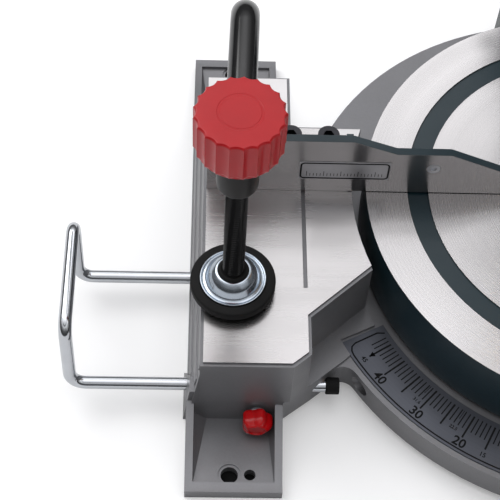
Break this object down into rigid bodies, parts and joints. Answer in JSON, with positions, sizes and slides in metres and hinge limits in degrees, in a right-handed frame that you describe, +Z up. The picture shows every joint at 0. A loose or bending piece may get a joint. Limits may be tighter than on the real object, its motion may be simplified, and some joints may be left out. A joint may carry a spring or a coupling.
{
  "type": "mitre saw",
  "caption": "Compound mitre saw on a cast base: round mitre turntable, fence, hold-down clamp, pull-out wire supports and a tilting, spring-lifted saw head.",
  "frame": {"origin": "on the bench, in the middle of the box round the saw, under the turntable axis", "axes": "+X to the right along the fence, +Y to the rear, +Z up; the fence face lies in y = 0"},
  "size_m": [0.6366, 0.5, 0.5056],
  "materials": {
    "base_paint": "satin paint on cast iron",
    "green_paint": "dark green paint on cast metal",
    "head_paint": "light grey paint on cast metal",
    "scale_plate": "printed aluminium",
    "name_plate": "plain aluminium",
    "steel": "zinc plated",
    "chrome": "bright chrome",
    "black_steel": "gloss black",
    "black_screws": "black oxide",
    "blade_steel": "ground steel",
    "red_plastic": "moulded red",
    "black_plastic": "moulded black",
    "amber_plastic": "clear moulded",
    "rubber": "soft black",
    "gear_steel": "hobbed steel",
    "winding": "varnished copper and laminations"
  },
  "bodies": {
    "base": {"base_casting": "base_paint", "rubber_feet": "rubber", "mitre_scale": "scale_plate", "pivot_bolt": "steel", "pivot_nut": "steel", "fence_left": "green_paint", "fence_right": "green_paint", "fence_screws": "black_screws", "fence_plate": "name_plate"},
    "turntable": {"turntable": "green_paint", "kerf_plate": "red_plastic", "kerf_screws": "steel", "mitre_pointer": "red_plastic", "bevel_scale": "scale_plate", "bevel_pivot_bolt": "steel", "bevel_lock_stud": "steel", "lock_shoe": "black_screws"},
    "mitre_lock": {"mitre_lock_knob": "red_plastic", "mitre_lock_rod": "steel"},
    "detent_lever": {"detent_lever": "black_plastic"},
    "clamp_slide": {"clamp_collar": "black_plastic"},
    "clamp_arm": {"clamp_arm": "black_steel"},
    "clamp_foot": {"clamp_dome": "chrome", "clamp_pad": "rubber"},
    "clamp_turn": {"clamp_spindle": "black_steel", "clamp_knob": "red_plastic"},
    "clamp_post_screw": {"clamp_post_screw": "red_plastic"},
    "extension_left": {"extension_wire_left": "chrome", "wire_caps_left": "rubber"},
    "extension_right": {"extension_wire_right": "chrome", "wire_caps_right": "rubber"},
    "thumbscrew_left": {"thumbscrew_left": "red_plastic"},
    "thumbscrew_right": {"thumbscrew_right": "red_plastic"},
    "tilt": {"tilt_bracket": "green_paint", "bevel_pointer": "red_plastic", "chop_axle": "steel", "chop_spring": "steel"},
    "bevel_lock": {"bevel_lock_lever": "black_plastic"},
    "lock_pin": {"lock_pin": "steel"},
    "head": {"upper_guard": "head_paint", "gear_cover": "head_paint", "motor_housing": "black_plastic", "motor_cap": "green_paint", "motor_stator": "winding", "handle_left": "black_plastic", "handle_right": "black_plastic", "head_screws": "steel", "dust_port": "black_plastic", "cable_gland": "rubber"},
    "trigger": {"trigger": "red_plastic"},
    "lock_off": {"lock_off_button": "red_plastic"},
    "arbor_lock": {"arbor_lock": "red_plastic"},
    "lower_guard": {"lower_guard": "amber_plastic"},
    "blade": {"saw_blade": "blade_steel", "blade_flanges": "steel", "arbor_bolt": "black_screws", "spindle": "steel", "driven_gear": "gear_steel"},
    "rotor": {"armature": "winding", "motor_fan": "black_plastic"}
  },
  "joints": [
    {"name": "mitre", "type": "hinge", "parent": "base", "child": "turntable", "pos_m": [0, 0, 0.06], "axis": [0, 0, -1], "range_deg": [-47, 47]},
    {"name": "mitre_lock_turn", "type": "hinge", "parent": "turntable", "child": "mitre_lock", "pos_m": [0, -0.21, 0.042], "axis": [0, -1, 0], "range_deg": [0, 180]},
    {"name": "detent_press", "type": "hinge", "parent": "turntable", "child": "detent_lever", "pos_m": [0, -0.198, 0.021], "axis": [1, 0, 0], "range_deg": [0, 8], "stiffness_Nm_per_rad": 0.5, "springref_deg": -11.46},
    {"name": "clamp_height", "type": "slide", "parent": "base", "child": "clamp_slide", "axis": [0, 0, -1], "range_m": [-0.045, 0]},
    {"name": "clamp_swing", "type": "hinge", "parent": "clamp_slide", "child": "clamp_arm", "pos_m": [-0.2175, 0.051, 0.08], "axis": [0, 0, -1], "range_deg": [-45, 45]},
    {"name": "clamp_foot_travel", "type": "slide", "parent": "clamp_arm", "child": "clamp_foot", "axis": [0, 0, -1], "range_m": [-0.05, 0.0037]},
    {"name": "clamp_screw", "type": "hinge", "parent": "clamp_foot", "child": "clamp_turn", "pos_m": [-0.22167, -0.06843, 0.09], "axis": [0, 0, -1], "range_deg": [-10325, 785]},
    {"name": "post_screw_turn", "type": "hinge", "parent": "base", "child": "clamp_post_screw", "pos_m": [-0.2175, 0.09, 0.04], "axis": [0, 1, 0], "range_deg": [0, 180]},
    {"name": "extension_left_slide", "type": "slide", "parent": "base", "child": "extension_left", "axis": [1, 0, 0], "range_m": [0, 0.055]},
    {"name": "extension_right_slide", "type": "slide", "parent": "base", "child": "extension_right", "axis": [-1, 0, 0], "range_m": [0, 0.055]},
    {"name": "thumbscrew_left_turn", "type": "hinge", "parent": "base", "child": "thumbscrew_left", "pos_m": [-0.206, -0.119, 0.016], "axis": [0, -1, 0], "range_deg": [0, 180]},
    {"name": "thumbscrew_right_turn", "type": "hinge", "parent": "base", "child": "thumbscrew_right", "pos_m": [0.206, -0.119, 0.016], "axis": [0, -1, 0], "range_deg": [0, 180]},
    {"name": "bevel", "type": "hinge", "parent": "turntable", "child": "tilt", "pos_m": [0, 0.168, 0.07], "axis": [0, -1, 0], "range_deg": [0, 47]},
    {"name": "bevel_lock_turn", "type": "hinge", "parent": "turntable", "child": "bevel_lock", "pos_m": [0.02001, 0.19, 0.04999], "axis": [0, -1, 0], "range_deg": [0, 60]},
    {"name": "lock_pin_slide", "type": "slide", "parent": "tilt", "child": "lock_pin", "axis": [1, 0, 0], "range_m": [0, 0.008]},
    {"name": "chop", "type": "hinge", "parent": "tilt", "child": "head", "pos_m": [0, 0.178, 0.154], "axis": [1, 0, 0], "range_deg": [0, 38], "stiffness_Nm_per_rad": 9, "springref_deg": -114.59, "deforming": ["chop_spring"]},
    {"name": "trigger_pull", "type": "hinge", "parent": "head", "child": "trigger", "pos_m": [0, 0.00931, 0.4584], "axis": [-1, 0, 0], "range_deg": [0, 12], "stiffness_Nm_per_rad": 0.1, "springref_deg": -17.19},
    {"name": "lock_off_press", "type": "slide", "parent": "head", "child": "lock_off", "axis": [1, 0, 0], "range_m": [0, 0.003], "stiffness_N_per_m": 150, "springref_m": -0.004},
    {"name": "arbor_lock_press", "type": "slide", "parent": "head", "child": "arbor_lock", "axis": [0, 0.788, -0.6157], "range_m": [0, 0.003], "stiffness_N_per_m": 200, "springref_m": -0.004},
    {"name": "lower_guard_turn", "type": "hinge", "parent": "head", "child": "lower_guard", "pos_m": [0.008, -0.00078, 0.29875], "axis": [1, 0, 0], "range_deg": [-150.2, 0]},
    {"name": "blade_spin", "type": "hinge", "parent": "head", "child": "blade", "pos_m": [0, -0.00078, 0.29875], "axis": [1, 0, 0], "continuous": true},
    {"name": "rotor_spin", "type": "hinge", "parent": "head", "child": "rotor", "pos_m": [0.1, 0.04324, 0.30811], "axis": [1, 0, 0], "continuous": true}
  ],
  "couplings": [
    {"joint": "clamp_screw", "follows": "clamp_foot_travel", "rad_per_m": 3590.7},
    {"joint": "lower_guard_turn", "follows": "chop", "ratio": -3.9474},
    {"joint": "rotor_spin", "follows": "blade_spin", "ratio": -5}
  ]
}
